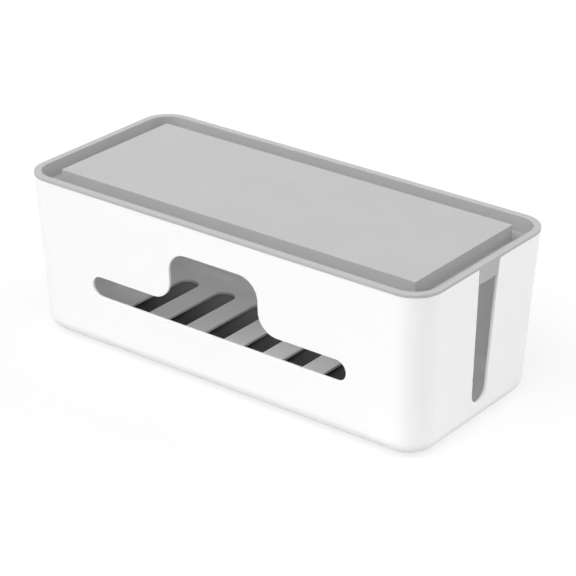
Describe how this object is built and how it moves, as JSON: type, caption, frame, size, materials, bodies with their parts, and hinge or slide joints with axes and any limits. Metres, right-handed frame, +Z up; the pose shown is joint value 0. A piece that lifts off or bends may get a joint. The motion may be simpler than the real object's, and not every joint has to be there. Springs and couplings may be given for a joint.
{
  "type": "cable management box",
  "caption": "Open tub with a front window, end cord slots and a vented floor, closed by a lift-off lid with a groove round a raised middle.",
  "frame": {"origin": "centre of the box's outline, on the surface that its feet stand on", "axes": "+X along the box's length, -Y towards the front with the window, +Z up"},
  "size_m": [0.32, 0.1466, 0.1167],
  "materials": {
    "white_shell": "fine satin moulding, white",
    "grey_lid": "fine matte moulding, light grey",
    "foot_rubber": "dull grey anti-slip rubber"
  },
  "bodies": {
    "tub": {"outer_box": "white_shell", "foot_front_left": "foot_rubber", "foot_front_right": "foot_rubber", "foot_back_right": "foot_rubber", "foot_back_left": "foot_rubber"},
    "lid": {"lid": "grey_lid"}
  },
  "joints": [
    {"name": "lid_lift", "type": "slide", "parent": "tub", "child": "lid", "axis": [0, 0, 1], "range_m": [0, 0.12]}
  ]
}
